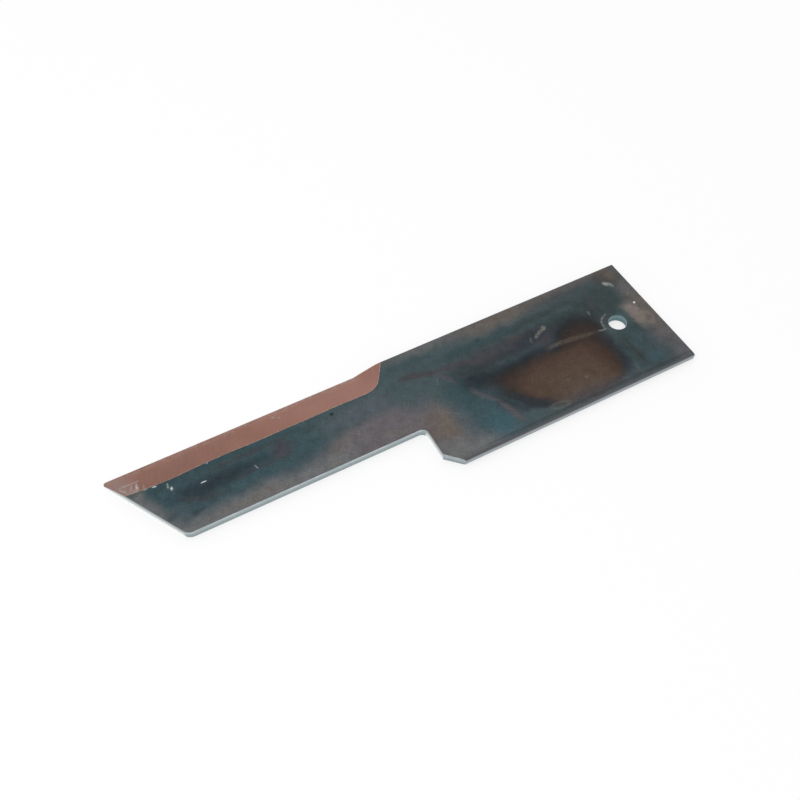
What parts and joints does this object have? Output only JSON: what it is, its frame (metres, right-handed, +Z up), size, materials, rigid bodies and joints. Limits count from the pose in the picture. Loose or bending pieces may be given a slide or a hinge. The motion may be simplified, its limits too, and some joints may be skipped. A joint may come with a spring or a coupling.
{
  "type": "straw chopper knife",
  "caption": "Flat fixed counter-knife for a straw chopper: wide bolted tang, square step with a cut corner, narrower single-bevel blade with a rounded run-out and a slanted tip.",
  "frame": {"origin": "centre of the bolt hole, on the underside", "axes": "+X along the knife towards its bolted end, +Y across it towards the cutting edge, +Z up, out of the face that carries the bevel"},
  "size_m": [0.2394, 0.06, 0.0035],
  "materials": {
    "hardened_steel": "hardened and tempered flat bar, dark blue and brown heat tint, ground bevel"
  },
  "bodies": {
    "root": {"knife": "hardened_steel"}
  },
  "joints": []
}
